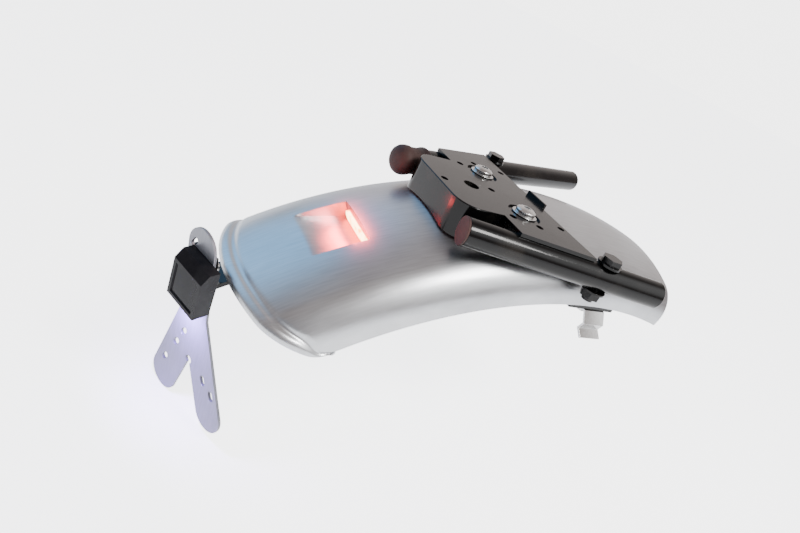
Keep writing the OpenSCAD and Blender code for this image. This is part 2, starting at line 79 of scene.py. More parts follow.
class NodeBuilder:
    """Builds one material's node tree, with the common patterns on Object coordinates."""

    def __init__(self, name: str) -> None:
        """Starts an empty tree with a Principled shader.

        Args:
            name: the material's name.
        """
        self.material = bpy.data.materials.new(name)
        self.material.use_nodes = True
        self.tree = self.material.node_tree
        self.tree.nodes.clear()
        self.output = self.tree.nodes.new("ShaderNodeOutputMaterial")
        self.shader = self.tree.nodes.new("ShaderNodeBsdfPrincipled")
        self.tree.links.new(self.shader.outputs["BSDF"], self.output.inputs["Surface"])
        self.coords = self.tree.nodes.new("ShaderNodeTexCoord")

    def set(self, **values: float | Colour) -> None:
        """Sets sockets of the shader; underscores in a name stand for spaces.

        Args:
            **values: socket names and their values.
        """
        for key, value in values.items():
            socket = self.shader.inputs[key.replace("_", " ")]
            if isinstance(value, tuple):
                value = (*value, 1.0)
            socket.default_value = value

    def mapped(self, scale: Point, turn: Point = (0.0, 0.0, 0.0)) -> bpy.types.NodeSocket:
        """Object coordinates, turned and stretched.

        Args:
            scale: repeats per metre along each axis.
            turn: rotation in degrees.

        Returns:
            The vector socket.
        """
        node = self.tree.nodes.new("ShaderNodeMapping")
        node.inputs["Scale"].default_value = scale
        node.inputs["Rotation"].default_value = tuple(math.radians(a) for a in turn)
        self.tree.links.new(self.coords.outputs["Object"], node.inputs["Vector"])
        return node.outputs["Vector"]

    def noise(self, scale: Point, detail: float = 4.0,
              turn: Point = (0.0, 0.0, 0.0)) -> bpy.types.NodeSocket:
        """Noise on stretched Object coordinates.

        Args:
            scale: repeats per metre along each axis.
            detail: octaves of the noise.
            turn: rotation of the pattern in degrees.

        Returns:
            The value socket.
        """
        node = self.tree.nodes.new("ShaderNodeTexNoise")
        node.inputs["Scale"].default_value = 1.0
        node.inputs["Detail"].default_value = detail
        self.tree.links.new(self.mapped(scale, turn), node.inputs["Vector"])
        return node.outputs["Fac"]

    def ramp(self, value: bpy.types.NodeSocket, stops: list[tuple[float, Colour]]) -> bpy.types.NodeSocket:
        """A colour ramp over a value.

        Args:
            value: the socket that drives it.
            stops: positions and colours, in order.

        Returns:
            The colour socket.
        """
        node = self.tree.nodes.new("ShaderNodeValToRGB")
        elements = node.color_ramp.elements
        while len(elements) < len(stops):
            elements.new(0.5)
        for element, (place, colour) in zip(elements, stops):
            element.position = place
            element.color = (*colour, 1.0)
        self.tree.links.new(value, node.inputs["Fac"])
        return node.outputs["Color"]

    def spread(self, value: bpy.types.NodeSocket, low: float, high: float) -> bpy.types.NodeSocket:
        """A value from 0.3 to 0.7 spread over a range.

        Args:
            value: the socket to spread.
            low: the result at 0.3.
            high: the result at 0.7.

        Returns:
            The value socket.
        """
        node = self.tree.nodes.new("ShaderNodeMapRange")
        node.inputs["From Min"].default_value = 0.3
        node.inputs["From Max"].default_value = 0.7
        node.inputs["To Min"].default_value = low
        node.inputs["To Max"].default_value = high
        self.tree.links.new(value, node.inputs["Value"])
        return node.outputs["Result"]

    def mix(self, factor: bpy.types.NodeSocket, a: bpy.types.NodeSocket, b: bpy.types.NodeSocket,
            how: str = "MIX") -> bpy.types.NodeSocket:
        """Mixes two colours.

        Args:
            factor: the share of b.
            a: the first colour.
            b: the second colour.
            how: the blend type.

        Returns:
            The colour socket.
        """
        node = self.tree.nodes.new("ShaderNodeMix")
        node.data_type = "RGBA"
        node.blend_type = how
        self.tree.links.new(factor, node.inputs["Factor"])
        self.tree.links.new(a, node.inputs["A"])
        self.tree.links.new(b, node.inputs["B"])
        return node.outputs["Result"]

    def bump(self, height: bpy.types.NodeSocket, strength: float, distance: float,
             under: bpy.types.NodeSocket | None = None) -> bpy.types.NodeSocket:
        """Adds fine relief to the shader's normal.

        Args:
            height: the socket that gives the height.
            strength: from 0 to 1.
            distance: the relief in metres.
            under: a coarser relief's normal, to build on.

        Returns:
            The normal socket.
        """
        node = self.tree.nodes.new("ShaderNodeBump")
        node.inputs["Strength"].default_value = strength
        node.inputs["Distance"].default_value = distance
        self.tree.links.new(height, node.inputs["Height"])
        if under is not None:
            self.tree.links.new(under, node.inputs["Normal"])
        self.tree.links.new(node.outputs["Normal"], self.shader.inputs["Normal"])
        return node.outputs["Normal"]

    def feed(self, socket: bpy.types.NodeSocket, name: str) -> None:
        """Links a pattern to one of the shader's sockets.

        Args:
            socket: the pattern's socket.
            name: the shader's socket.
        """
        self.tree.links.new(socket, self.shader.inputs[name])


@dataclass(frozen=True)
class BareMetal:
    """Metal with fine scratches, clouds of handling marks and no coat."""

    name: str
    light: Colour
    dark: Colour
    roughness: tuple[float, float] = (0.25, 0.4)
    grain: Grain = Grain.RANDOM
    scratch: float = 0.12
    cloud_scale: float = 14.0
    metallic: float = 1.0
    streak_share: float = 0.9

    def build(self) -> bpy.types.Material:
        """Makes the material.

        Returns:
            The material.
        """
        nodes = NodeBuilder(self.name)
        nodes.set(Metallic=self.metallic)
        clouds = nodes.noise((self.cloud_scale,) * 3, 3.0)
        lines = nodes.noise(self.grain.value, 2.0)
        tone = nodes.ramp(clouds, [(0.3, self.dark), (0.7, self.light)])
        streak = nodes.ramp(lines, [(0.25, (0.82, 0.82, 0.82)), (0.75, (1.0, 1.0, 1.0))])
        share = nodes.spread(lines, self.streak_share, self.streak_share)
        nodes.feed(nodes.mix(share, tone, streak, "MULTIPLY"), "Base Color")
        nodes.feed(nodes.spread(clouds, *self.roughness), "Roughness")
        nodes.bump(lines, self.scratch, 0.0001)
        return nodes.material


@dataclass(frozen=True)
class BlackPaint:
    """Gloss paint on steel, with orange peel and dust."""

    name: str
    body: Colour = (0.002, 0.0019, 0.002)
    dust: Colour = (0.02, 0.017, 0.014)
    roughness: tuple[float, float] = (0.1, 0.26)

    def build(self) -> bpy.types.Material:
        """Makes the material.

        Returns:
            The material.
        """
        nodes = NodeBuilder(self.name)
        nodes.set(Coat_Weight=0.12, Coat_Roughness=0.05, Specular_IOR_Level=0.24, IOR=1.45)
        dust = nodes.noise((38.0, 38.0, 38.0), 6.0)
        peel = nodes.noise((420.0, 420.0, 420.0), 2.0)
        nodes.feed(nodes.ramp(dust, [(0.52, self.body), (0.85, self.dust)]), "Base Color")
        nodes.feed(nodes.spread(dust, *self.roughness), "Roughness")
        nodes.bump(peel, 0.12, 0.0002)
        return nodes.material


@dataclass(frozen=True)
class Moulding:
    """Moulded plastic or rubber with a fine texture."""

    name: str
    body: Colour
    worn: Colour
    roughness: tuple[float, float] = (0.3, 0.5)
    texture: float = 700.0
    relief: float = 0.15
    specular: float = 0.28

    def build(self) -> bpy.types.Material:
        """Makes the material.

        Returns:
            The material.
        """
        nodes = NodeBuilder(self.name)
        nodes.set(Specular_IOR_Level=self.specular)
        wear = nodes.noise((45.0, 45.0, 45.0), 5.0)
        fine = nodes.noise((self.texture,) * 3, 2.0)
        nodes.feed(nodes.ramp(wear, [(0.4, self.body), (0.75, self.worn)]), "Base Color")
        nodes.feed(nodes.spread(wear, *self.roughness), "Roughness")
        nodes.bump(fine, self.relief, 0.0002)
        return nodes.material


@dataclass(frozen=True)
class LitLens:
    """A lens over emitters: bright in the middle of each, deeper between."""

    name: str
    core: Colour
    rim: Colour
    strength: float
    thrown: Colour
    pitch: float = 0.0043

    def build(self) -> bpy.types.Material:
        """Makes the material.

        Returns:
            The material.
        """
        nodes = NodeBuilder(self.name)
        repeat = 1.0 / self.pitch
        cells = nodes.noise((repeat, repeat, repeat), 1.0)
        glow = nodes.ramp(cells, [(0.3, self.rim), (0.5, self.core)])
        nodes.set(Roughness=0.15, Emission_Strength=self.strength)
        nodes.feed(glow, "Base Color")
        rays = nodes.tree.nodes.new("ShaderNodeLightPath")
        thrown = nodes.ramp(cells, [(0.0, self.thrown), (1.0, self.thrown)])
        nodes.feed(nodes.mix(rays.outputs["Is Camera Ray"], thrown, glow), "Emission Color")
        return nodes.material


FENDER_STEEL = BareMetal(
    "fender steel", light=(0.66, 0.68, 0.70), dark=(0.50, 0.51, 0.53), roughness=(0.28, 0.4),
    grain=Grain.LENGTHWISE, scratch=0.1, cloud_scale=11.0)
HOLDER_SHEET = BareMetal(
    "holder sheet", light=(0.27, 0.275, 0.31), dark=(0.19, 0.195, 0.225), roughness=(0.3, 0.42),
    grain=Grain.UPRIGHT, metallic=0.5)
STRAP_STEEL = BareMetal(
    "strap steel", light=(0.78, 0.78, 0.77), dark=(0.6, 0.6, 0.6), roughness=(0.16, 0.3),
    grain=Grain.UPRIGHT)
PLATED_STEEL = BareMetal(
    "plated steel", light=(0.82, 0.82, 0.81), dark=(0.6, 0.6, 0.6), roughness=(0.14, 0.28),
    grain=Grain.RANDOM, scratch=0.06, cloud_scale=90.0)
FRAME_PAINT = BlackPaint("frame paint")
LIGHT_PLASTIC = Moulding("light plastic", body=(0.02, 0.02, 0.022), worn=(0.05, 0.05, 0.05))
LAMP_PLASTIC = Moulding(
    "lamp plastic", body=(0.006, 0.006, 0.008), worn=(0.02, 0.02, 0.022), roughness=(0.1, 0.22),
    texture=300.0, relief=0.05, specular=0.09)
SOFT_RUBBER = Moulding(
    "soft rubber", body=(0.015, 0.015, 0.015), worn=(0.04, 0.04, 0.04), roughness=(0.6, 0.8))
# The plugs' rubber is dark; the red-brown tint of both its tones is a painted red reflection on the tube ends.
PLUG_RUBBER_WITH_PAINTED_RED_REFLECTION = Moulding(
    "plug rubber with painted red reflection", body=(0.018, 0.008, 0.008), worn=(0.07, 0.035, 0.03), roughness=(0.45, 0.7),
    texture=500.0, relief=0.3)
BOARD = Moulding("board laminate", body=(0.02, 0.12, 0.05), worn=(0.03, 0.18, 0.08), roughness=(0.25, 0.4))
TAIL_LENS = LitLens(
    "tail lens", core=(1.0, 0.86, 0.45), rim=(1.0, 0.36, 0.06), strength=8.0, thrown=(1.0, 0.07, 0.04))
LAMP_LENS = LitLens(
    "lamp lens", core=(0.62, 0.6, 1.0), rim=(0.4, 0.38, 1.0), strength=5.0, thrown=(0.5, 0.4, 1.0))


class Bench:
    """The operators that every sub-assembly shares."""

    @staticmethod
    def clear() -> None:
        """Deselects everything."""
        bpy.ops.object.select_all(action="DESELECT")

    @staticmethod
    def take(obj: bpy.types.Object) -> None:
        """Selects one object alone and makes it active.

        Args:
            obj: the object.
        """
        Bench.clear()
        obj.select_set(True)
        bpy.context.view_layer.objects.active = obj

    @staticmethod
    def settle(obj: bpy.types.Object) -> None:
        """Moves an object's place, turn and scale into its mesh.

        Args:
            obj: the object.
        """
        Bench.take(obj)
        bpy.ops.object.transform_apply(location=True, rotation=True, scale=True)

    @staticmethod
    def pick(obj: bpy.types.Object, test: Callable[[Vector], bool]) -> None:
        """Selects the corners of a mesh by their place, with the faces between them.

        Args:
            obj: the object.
            test: says whether a place is picked.
        """
        Bench.take(obj)
        bpy.ops.object.mode_set(mode="EDIT")
        bpy.ops.mesh.select_mode(type="VERT")
        bpy.ops.mesh.select_all(action="DESELECT")
        bpy.ops.object.mode_set(mode="OBJECT")
        for vertex in obj.data.vertices:
            vertex.select = test(vertex.co)
        bpy.ops.object.mode_set(mode="EDIT")
        bpy.ops.mesh.select_mode(type="VERT")
        bpy.ops.object.mode_set(mode="OBJECT")

    @staticmethod
    def paint(obj: bpy.types.Object, material: bpy.types.Material) -> None:
        """Gives an object one material.

        Args:
            obj: the object.
            material: its finish.
        """
        obj.data.materials.clear()
        obj.data.materials.append(material)

    @staticmethod
    def bevelled(obj: bpy.types.Object, width: float, segments: int = 2, angle: float = 40.0) -> None:
        """Rounds an object's sharp edges and applies it.

        Args:
            obj: the object.
            width: the width of the round in metres.
            segments: the steps of the round.
            angle: edges sharper than this, in degrees, are rounded.
        """
        Bench.take(obj)
        modifier = obj.modifiers.new("edge round", "BEVEL")
        modifier.limit_method = "ANGLE"
        modifier.angle_limit = math.radians(angle)
        modifier.width = width
        modifier.segments = segments
        modifier.use_clamp_overlap = True
        bpy.ops.object.modifier_apply(modifier=modifier.name)

    @staticmethod
    def smooth(obj: bpy.types.Object, angle: float = 35.0) -> None:
        """Shades an object smooth up to an angle.

        Args:
            obj: the object.
            angle: in degrees.
        """
        Bench.take(obj)
        bpy.ops.object.shade_smooth_by_angle(angle=math.radians(angle))
        modifier = obj.modifiers.new("face normals", "WEIGHTED_NORMAL")
        modifier.keep_sharp = True
        modifier.weight = 60
        bpy.ops.object.modifier_apply(modifier=modifier.name)

    @staticmethod
    def turned(name: str, profile: tuple[tuple[float, float], ...], turn: Matrix) -> bpy.types.Object:
        """Draws a profile and spins it once about X.

        Args:
            name: the piece's name.
            profile: places along X and radii in millimetres.
            turn: where the piece goes.

        Returns:
            The piece.
        """
        Bench.clear()
        first = (profile[0][0] * MM, 0.0, profile[0][1] * MM)
        bpy.ops.mesh.primitive_plane_add(size=MM, location=first)
        obj = bpy.context.active_object
        obj.name = name
        Bench.settle(obj)
        bpy.ops.object.mode_set(mode="EDIT")
        bpy.ops.mesh.select_mode(type="VERT")
        bpy.ops.mesh.select_all(action="SELECT")
        bpy.ops.mesh.merge(type="CENTER")
        for before, after in zip(profile, profile[1:]):
            step = ((after[0] - before[0]) * MM, 0.0, (after[1] - before[1]) * MM)
            bpy.ops.mesh.extrude_region_move(TRANSFORM_OT_translate={"value": step})
        bpy.ops.mesh.select_all(action="SELECT")
        bpy.ops.mesh.spin(steps=72, angle=math.tau, center=(0.0, 0.0, 0.0), axis=(1.0, 0.0, 0.0))
        bpy.ops.mesh.select_all(action="SELECT")
        bpy.ops.mesh.remove_doubles(threshold=1e-5)
        bpy.ops.mesh.normals_make_consistent(inside=False)
        bpy.ops.object.mode_set(mode="OBJECT")
        obj.data.transform(turn)
        return obj

    @staticmethod
    def merged(node: str, name: str, flatten: float = 0.0) -> bpy.types.Object:
        """A copy of a solid with its corners joined.

        Args:
            node: the solid's name.
            name: the copy's name.
            flatten: flat faces are joined below this angle in degrees; 0 keeps all.

        Returns:
            The copy, which stands for the solid.
        """
        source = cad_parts[node]
        copy = bpy.data.objects.new(name, source.data.copy())
        bpy.context.scene.collection.objects.link(copy)
        Bench.take(copy)
        bpy.ops.object.mode_set(mode="EDIT")
        bpy.ops.mesh.select_all(action="SELECT")
        bpy.ops.mesh.remove_doubles(threshold=2e-6)
        if flatten:
            bpy.ops.mesh.dissolve_limited(angle_limit=math.radians(flatten))
        bpy.ops.object.mode_set(mode="OBJECT")
        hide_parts(node)
        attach(copy, "root")
        return copy


@dataclass
class SubAssembly:
    """A group of pieces that are built and dressed together."""

    title: str = "sub-assembly"
    built: list[str] = field(default_factory=list)

    def solid(self, node: str, finish: bpy.types.Material, edge: float = 0.3,
              slot: str = "") -> bpy.types.Object:
        """Dresses one solid: rounded edges, smooth faces and a finish.

        Args:
            node: the solid's name.
            finish: its material.
            edge: the width of its edge rounds in millimetres; 0 leaves them.
            slot: a name for the finish's slot; not used.

        Returns:
            The dressed piece.
        """
        piece = Bench.merged(node, node + "_dressed", 0.05 if edge else 0.0)
        if edge:
            Bench.bevelled(piece, edge * MM)
        Bench.smooth(piece)
        Bench.paint(piece, finish)
        self.built.append(piece.name)
        return piece

    def report(self) -> None:
        """Logs the pieces that were built."""
        LOG.info("%s: %s", self.title, ", ".join(self.built))


@dataclass
class FenderShell(SubAssembly):
    """The pressed shell with its rolled tail rim and sunk ramp.

    Lengths are in millimetres and angles in degrees. The rim lists its rings as distance ahead
    of the tail's cut and height over the skin.
    """

    title: str = "fender shell"
    crown_r: float = 376.0
    crown_drop: float = 1.5
    cross_r: float = 138.0
    shoulder_r: float = 28.0
    half_w: float = 68.5
    skirt_h: float = 4.0
    sheet_t: float = 1.6
    axle_x: float = 66.0
    tail_angle: float = 40.0
    tail_rake: float = 35.0
    front_angle: float = 14.0
    corner_r: float = 16.0
    light_angle: float = 26.4
    ramp_l: float = 37.0
    ramp_w: float = 47.0
    ramp_d: float = 13.6
    ramp_side: float = 0.8
    ramp_pick: float = 0.7
    ramp_below: float = 30.0
    soft_depth: float = 0.06
    soft_length: float = 0.12
    wall_x: float = 1.0
    wall_step: float = 0.5
    wall_slack: float = 0.03
    crown_steps: int = 34
    shoulder_steps: int = 24
    column_gap: float = 0.75
    skirt_falls: tuple[float, ...] = (0.2, 0.38, 0.55, 0.69, 0.8, 0.88, 0.94, 0.98, 1.0)
    ring_step: float = 0.4
    body_end: float = 32.1
    body_rings: int = 124
    lead_rings: int = 3
    rim_low: float = 0.5
    rim_blend: float = 14.0
    rim: tuple[tuple[float, float], ...] = (
        (12.5, 0.0), (11.0, -0.15), (10.0, -0.5), (9.2, -0.85), (8.4, -1.0), (7.7, -0.85),
        (7.0, -0.4), (6.3, 0.25), (5.6, 0.75), (4.8, 1.08), (3.9, 1.24), (3.0, 1.26), (2.2, 1.1),
        (1.5, 0.75), (0.9, 0.25), (0.4, -0.3), (0.0, -0.9))

    @property
    def axle(self) -> Vector:
        """The wheel axle, in metres.

        Returns:
            Its place.
        """
        return Vector((self.axle_x, 0.0, -self.crown_r - self.crown_drop)) * MM

    @property
    def shoulder_a(self) -> float:
        """The angle at which the crown meets a shoulder, in radians.

        Returns:
            The angle.
        """
        return math.asin((self.half_w - self.shoulder_r) / (self.cross_r - self.shoulder_r))

    @property
    def shoulder_centre(self) -> tuple[float, float]:
        """A shoulder's centre as radius from the axle and distance from the middle.

        Returns:
            The two lengths.
        """
        reach = self.cross_r - self.shoulder_r
        return (self.crown_r - self.cross_r + reach * math.cos(self.shoulder_a), self.half_w - self.shoulder_r)

    @property
    def edge_r(self) -> float:
        """The skirt edge's radius from the axle.

        Returns:
            The radius.
        """
        return self.shoulder_centre[0] - self.skirt_h

    def outward(self, angle: float) -> Vector:
        """The direction out of the crown.

        Args:
            angle: degrees behind the point above the axle.

        Returns:
            The unit vector.
        """
        turn = math.radians(angle)
        return Vector((-math.sin(turn), 0.0, math.cos(turn)))

    def section(self) -> list[tuple[float, float]]:
        """Half of the pressed section, from the middle to the skirt's edge.

        Returns:
            Places as distance from the middle and radius from the axle.
        """
        half = self.ramp_w / 2
        exact = [half - self.ramp_side, half]
        meet = self.shoulder_a
        steps = self.crown_steps
        across = [self.cross_r * math.sin(meet * i / steps) for i in range(steps + 1)]
        across = [y for y in across if min(abs(y - e) for e in exact) > self.column_gap] + exact
        low = self.crown_r - self.cross_r
        points = [(y, low + math.sqrt(self.cross_r ** 2 - y ** 2)) for y in sorted(across)]
        centre_r, centre_y = self.shoulder_centre
        for i in range(1, self.shoulder_steps + 1):
            a = meet + (math.pi / 2 - meet) * i / self.shoulder_steps
            y = centre_y + self.shoulder_r * math.sin(a)
            points.append((y, centre_r + self.shoulder_r * math.cos(a)))
        for fall in self.skirt_falls:
            points.append((self.half_w, centre_r - self.skirt_h * fall))
        return points

    @property
    def cut_a(self) -> float:
        """The direction out of the raked tail cut, in degrees behind the top.

        Returns:
            The angle.
        """
        return 90.0 + self.tail_angle + self.tail_rake

    @property
    def reach(self) -> float:
        """The tail cut's distance from the axle along its own direction.

        Returns:
            The distance.
        """
        return self.crown_r * math.cos(math.radians(self.tail_angle - self.cut_a))

    def line_angle(self, r: float, inset: float) -> float:
        """Where a radius meets the tail's straight cut.

        Args:
            r: the radius from the axle.
            inset: how far the line lies ahead of the cut.

        Returns:
            The angle in degrees behind the top.
        """
        return self.cut_a - math.degrees(math.acos((self.reach - inset) / r))

    def end_angle(self, r: float) -> float:
        """Where the shell ends at a radius, on the straight cut or round its lower corner.

        Args:
            r: the radius from the axle.

        Returns:
            The angle in degrees behind the top.
        """
        far = self.edge_r + self.corner_r
        ahead = self.reach - self.corner_r
        touch = math.sqrt(far ** 2 + self.corner_r ** 2 + 2.0 * self.corner_r * ahead)
        if r >= touch:
            return self.line_angle(r, 0.0)
        centre = self.cut_a - math.degrees(math.acos(ahead / far))
        cosine = (r ** 2 + far ** 2 - self.corner_r ** 2) / (2.0 * r * far)
        return centre + math.degrees(math.acos(min(1.0, cosine)))

    def body_angles(self) -> list[float]:
        """The rings ahead of the tail rim, two of them at the light's wall.

        Returns:
            Their angles in degrees behind the top.
        """
        span = self.body_end + self.front_angle
        angles = [-self.front_angle + span * i / (self.body_rings - 1) for i in range(self.body_rings)]
        foot = self.light_angle - math.degrees(self.wall_x / self.crown_r)
        i = min(range(self.body_rings), key=lambda k: abs(angles[k] - foot))
        angles[i] = foot
        angles[i - 1] = foot - math.degrees(self.wall_step / self.crown_r)
        return angles

    def sweep(self) -> bpy.types.Object:
        """Draws the section with extrusions and spins it about the axle.

        Returns:
            The open skin.
        """
        half = self.section()
        line = [(-y, r) for y, r in reversed(half[1:])] + half
        start = self.outward(-self.front_angle)
        places = [self.axle + start * (r * MM) + Vector((0.0, y * MM, 0.0)) for y, r in line]
        Bench.clear()
        bpy.ops.mesh.primitive_plane_add(size=MM, location=places[0])
        skin = bpy.context.active_object
        skin.name = "fender_skin"
        Bench.settle(skin)
        bpy.ops.object.mode_set(mode="EDIT")
        bpy.ops.mesh.select_mode(type="VERT")
        bpy.ops.mesh.select_all(action="SELECT")
        bpy.ops.mesh.merge(type="CENTER")
        for before, after in zip(places, places[1:]):
            bpy.ops.mesh.extrude_region_move(TRANSFORM_OT_translate={"value": after - before})
        bpy.ops.mesh.select_all(action="SELECT")
        steps = self.body_rings + self.lead_rings + len(self.rim) - 1
        angle = math.radians(steps * self.ring_step)
        bpy.ops.mesh.spin(steps=steps, angle=angle, center=self.axle, axis=(0.0, 1.0, 0.0))
        bpy.ops.object.mode_set(mode="OBJECT")
        return skin

    def outward_of(self, y: float, r: float) -> tuple[float, float]:
        """The direction out of the section, sideways and away from the axle.

        Args:
            y: distance from the middle.
            r: radius from the axle.

        Returns:
            The two parts of the unit vector.
        """
        centre_r, centre_y = self.shoulder_centre
        side = math.copysign(1.0, y)
        if r <= centre_r:
            return side, 0.0
        if abs(y) <= self.cross_r * math.sin(self.shoulder_a):
            away, up = y, r - self.crown_r + self.cross_r
        else:
            away, up = side * (abs(y) - centre_y), r - centre_r
        size = math.hypot(away, up)
        return away / size, up / size

    def form_tail(self, skin: bpy.types.Object) -> None:
        """Draws the rings up to the raked cut, the last ones over the groove and the rolled rim.

        Args:
            skin: the swept skin.
        """
        body = self.body_angles()
        lead = self.lead_rings
        rim = ((0.0, 0.0),) * lead + self.rim
        centre_r = self.shoulder_centre[0]
        for vertex in skin.data.vertices:
            away = vertex.co - self.axle
            y = away.y / MM
            r = math.hypot(away.x, away.z) / MM
            behind = math.degrees(math.atan2(-away.x, away.z))
            ring = round((behind + self.front_angle) / self.ring_step)
            if ring < len(body):
                vertex.co = self.axle + self.outward(body[ring]) * (r * MM) + Vector((0.0, y * MM, 0.0))
                continue
            last = ring - len(body)
            share = min(1.0, max(0.0, (r - self.edge_r) / (centre_r + self.rim_blend - self.edge_r)))
            narrow = self.rim_low + (1.0 - self.rim_low) * share * share * (3.0 - 2.0 * share)
            inset, lift = rim[min(last, len(rim) - 1)]
            end = self.end_angle(r)
            line = self.line_angle(r, 0.0)
            start = end - narrow * (line - self.line_angle(r, rim[lead][0]))
            if last < lead:
                angle = self.body_end + (start - self.body_end) * (last + 1) / (lead + 1)
            else:
                angle = end - narrow * (line - self.line_angle(r, inset))
            out_y, out_r = self.outward_of(y, r)
            lift *= narrow
            vertex.co = self.axle + self.outward(angle) * ((r + lift * out_r) * MM)
            vertex.co.y = (y + lift * out_y) * MM

    def sink_ramp(self, skin: bpy.types.Object) -> None:
        """Presses the ramp down to the light's wall.

        Args:
            skin: the skin.
        """
        out = self.outward(self.light_angle)
        ahead = Vector((out.z, 0.0, -out.x))
        origin = self.axle + out * (self.crown_r * MM)
        side = self.ramp_w / 2 - self.ramp_pick
        for vertex in skin.data.vertices:
            away = vertex.co - origin
            x = away.dot(ahead) / MM
            y = abs(vertex.co.y) / MM
            if y > side or x > self.wall_x + self.wall_slack or x < -self.ramp_l:
                continue
            if away.dot(out) < -self.ramp_below * MM:
                continue
            share = (x + self.ramp_l) / (self.ramp_l + self.wall_x)
            ease = self.soft_depth * (1.0 - share) * math.exp(-share / self.soft_length)
            soft = share - ease * share / self.soft_length
            skin_z = -y * y / (2.0 * self.cross_r)
            vertex.co += out * (soft * (-self.ramp_d - skin_z) * MM)

    def finish_sheet(self, skin: bpy.types.Object) -> None:
        """Joins doubled corners, thickens the sheet inwards and rounds its edges.

        Args:
            skin: the skin.
        """
        Bench.take(skin)
        bpy.ops.object.mode_set(mode="EDIT")
        bpy.ops.mesh.select_all(action="SELECT")
        bpy.ops.mesh.remove_doubles(threshold=5e-6)
        bpy.ops.object.mode_set(mode="OBJECT")
        wall = skin.modifiers.new("sheet", "SOLIDIFY")
        wall.thickness = self.sheet_t * MM
        wall.offset = -1.0
        wall.use_even_offset = True
        bpy.ops.object.modifier_apply(modifier=wall.name)
        Bench.bevelled(skin, 0.5 * MM, segments=2, angle=38.0)
        Bench.smooth(skin, angle=45.0)

    def face_out(self, skin: bpy.types.Object) -> None:
        """Makes every face of the open skin point away from the wheel.

        Args:
            skin: the skin.
        """
        Bench.pick(skin, lambda place: True)
        bpy.ops.object.mode_set(mode="EDIT")
        bpy.ops.mesh.normals_make_consistent(inside=False)
        bpy.ops.object.mode_set(mode="OBJECT")
        top = max(skin.data.polygons, key=lambda face: face.center.z)
        if top.normal.z < 0.0:
            bpy.ops.object.mode_set(mode="EDIT")
            bpy.ops.mesh.flip_normals()
            bpy.ops.object.mode_set(mode="OBJECT")

    def build(self) -> None:
        """Builds the shell."""
        steel = FENDER_STEEL.build()
        skin = self.sweep()
        self.form_tail(skin)
        self.face_out(skin)
        self.sink_ramp(skin)
        self.finish_sheet(skin)
        Bench.paint(skin, steel)
        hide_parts("fender_shell")
        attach(skin, "root")
        self.built.append(skin.name)
        self.report()


@dataclass
class TailLight(SubAssembly):
    """The light bar behind the ramp's wall, and the red light it throws."""

    title: str = "tail light"
    shell: FenderShell = field(default_factory=FenderShell)
    red: Colour = (1.0, 0.05, 0.05)

    def throw(self, name: str, place_mm: Point, toward: Point, size_mm: tuple[float, float],
              power: float) -> None:
        """Adds one small red light by the bar.

        Args:
            name: the light's name.
            place_mm: its place in the bar's frame: forward, left, out of the crown.
            toward: the direction that it shines in, in the same frame.
            size_mm: its length along the bar and its height.
            power: its watts.
        """
        out = self.shell.outward(self.shell.light_angle)
        ahead = Vector((out.z, 0.0, -out.x))
        origin = self.shell.axle + out * (self.shell.crown_r * MM)
        turn = Matrix((ahead, Vector((0.0, 1.0, 0.0)), out)).transposed()
        data = bpy.data.lights.new(name, "AREA")
        data.shape = "RECTANGLE"
        data.size = size_mm[0] * MM
        data.size_y = size_mm[1] * MM
        data.energy = power
        data.color = self.red
        obj = bpy.data.objects.new(name, data)
        bpy.context.scene.collection.objects.link(obj)
        back = -(turn @ Vector(toward)).normalized()
        side = Vector((0.0, 1.0, 0.0))
        facing = Matrix((side, back.cross(side), back)).transposed().to_4x4()
        obj.matrix_world = Matrix.Translation(origin + turn @ Vector(place_mm) * MM) @ facing

    def build(self) -> None:
        """Builds the light's pieces."""
        plastic = LIGHT_PLASTIC.build()
        rubber = SOFT_RUBBER.build()
        self.solid("light_housing", plastic, 0.3, "light_plastic")
        self.solid("light_gasket", rubber, 0.0, "gasket_rubber")
        self.solid("light_board", BOARD.build(), 0.0, "board_laminate")
        self.solid("light_lens", TAIL_LENS.build(), 0.5, "light_lens")
        self.solid("light_screws", PLATED_STEEL.build(), 0.15, "zinc_steel")
        self.solid("light_gland", rubber, 0.3, "gasket_rubber")
        self.throw("ramp glow", place_mm=(-6.0, 0.0, -1.0), toward=(-1.0, 0.0, -0.45),
                   size_mm=(42.0, 7.0), power=0.035)
        self.throw("crown glow", place_mm=(2.0, 13.0, 16.0), toward=(0.2, -0.3, -1.0),
                   size_mm=(44.0, 12.0), power=0.045)
        self.report()


